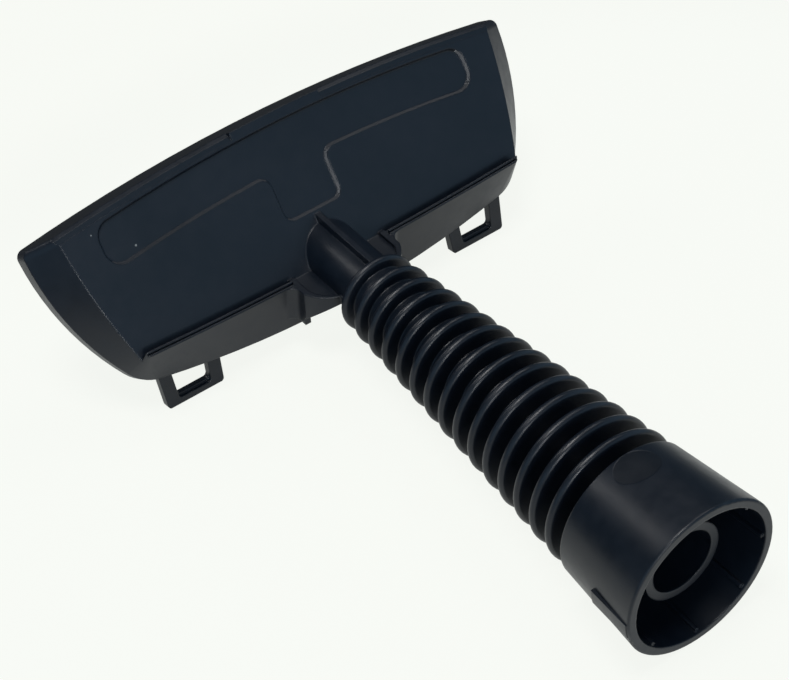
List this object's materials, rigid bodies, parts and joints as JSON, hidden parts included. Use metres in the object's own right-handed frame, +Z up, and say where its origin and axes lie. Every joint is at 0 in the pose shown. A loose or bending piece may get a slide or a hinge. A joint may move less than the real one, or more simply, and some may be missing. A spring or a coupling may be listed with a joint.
{
  "type": "steam cleaner brush nozzle",
  "caption": "Black plastic steam cleaner nozzle: a wide open-bottomed head set at an angle on a tapered ring-finned grip, with clip eyes behind the head and a ribbed socket collar.",
  "frame": {"origin": "middle of the overall box, on the table it lies on", "axes": "+Y along the grip's axis from the collar's mouth to the head, +X across the head to its right seen from the collar, +Z up; the part lies on the collar's rim and the two clip eyes"},
  "size_m": [0.1576, 0.1857, 0.0589],
  "materials": {
    "black_plastic": "moulded black plastic with a satin sheen"
  },
  "bodies": {
    "root": {"nozzle_body": "black_plastic"}
  },
  "joints": []
}
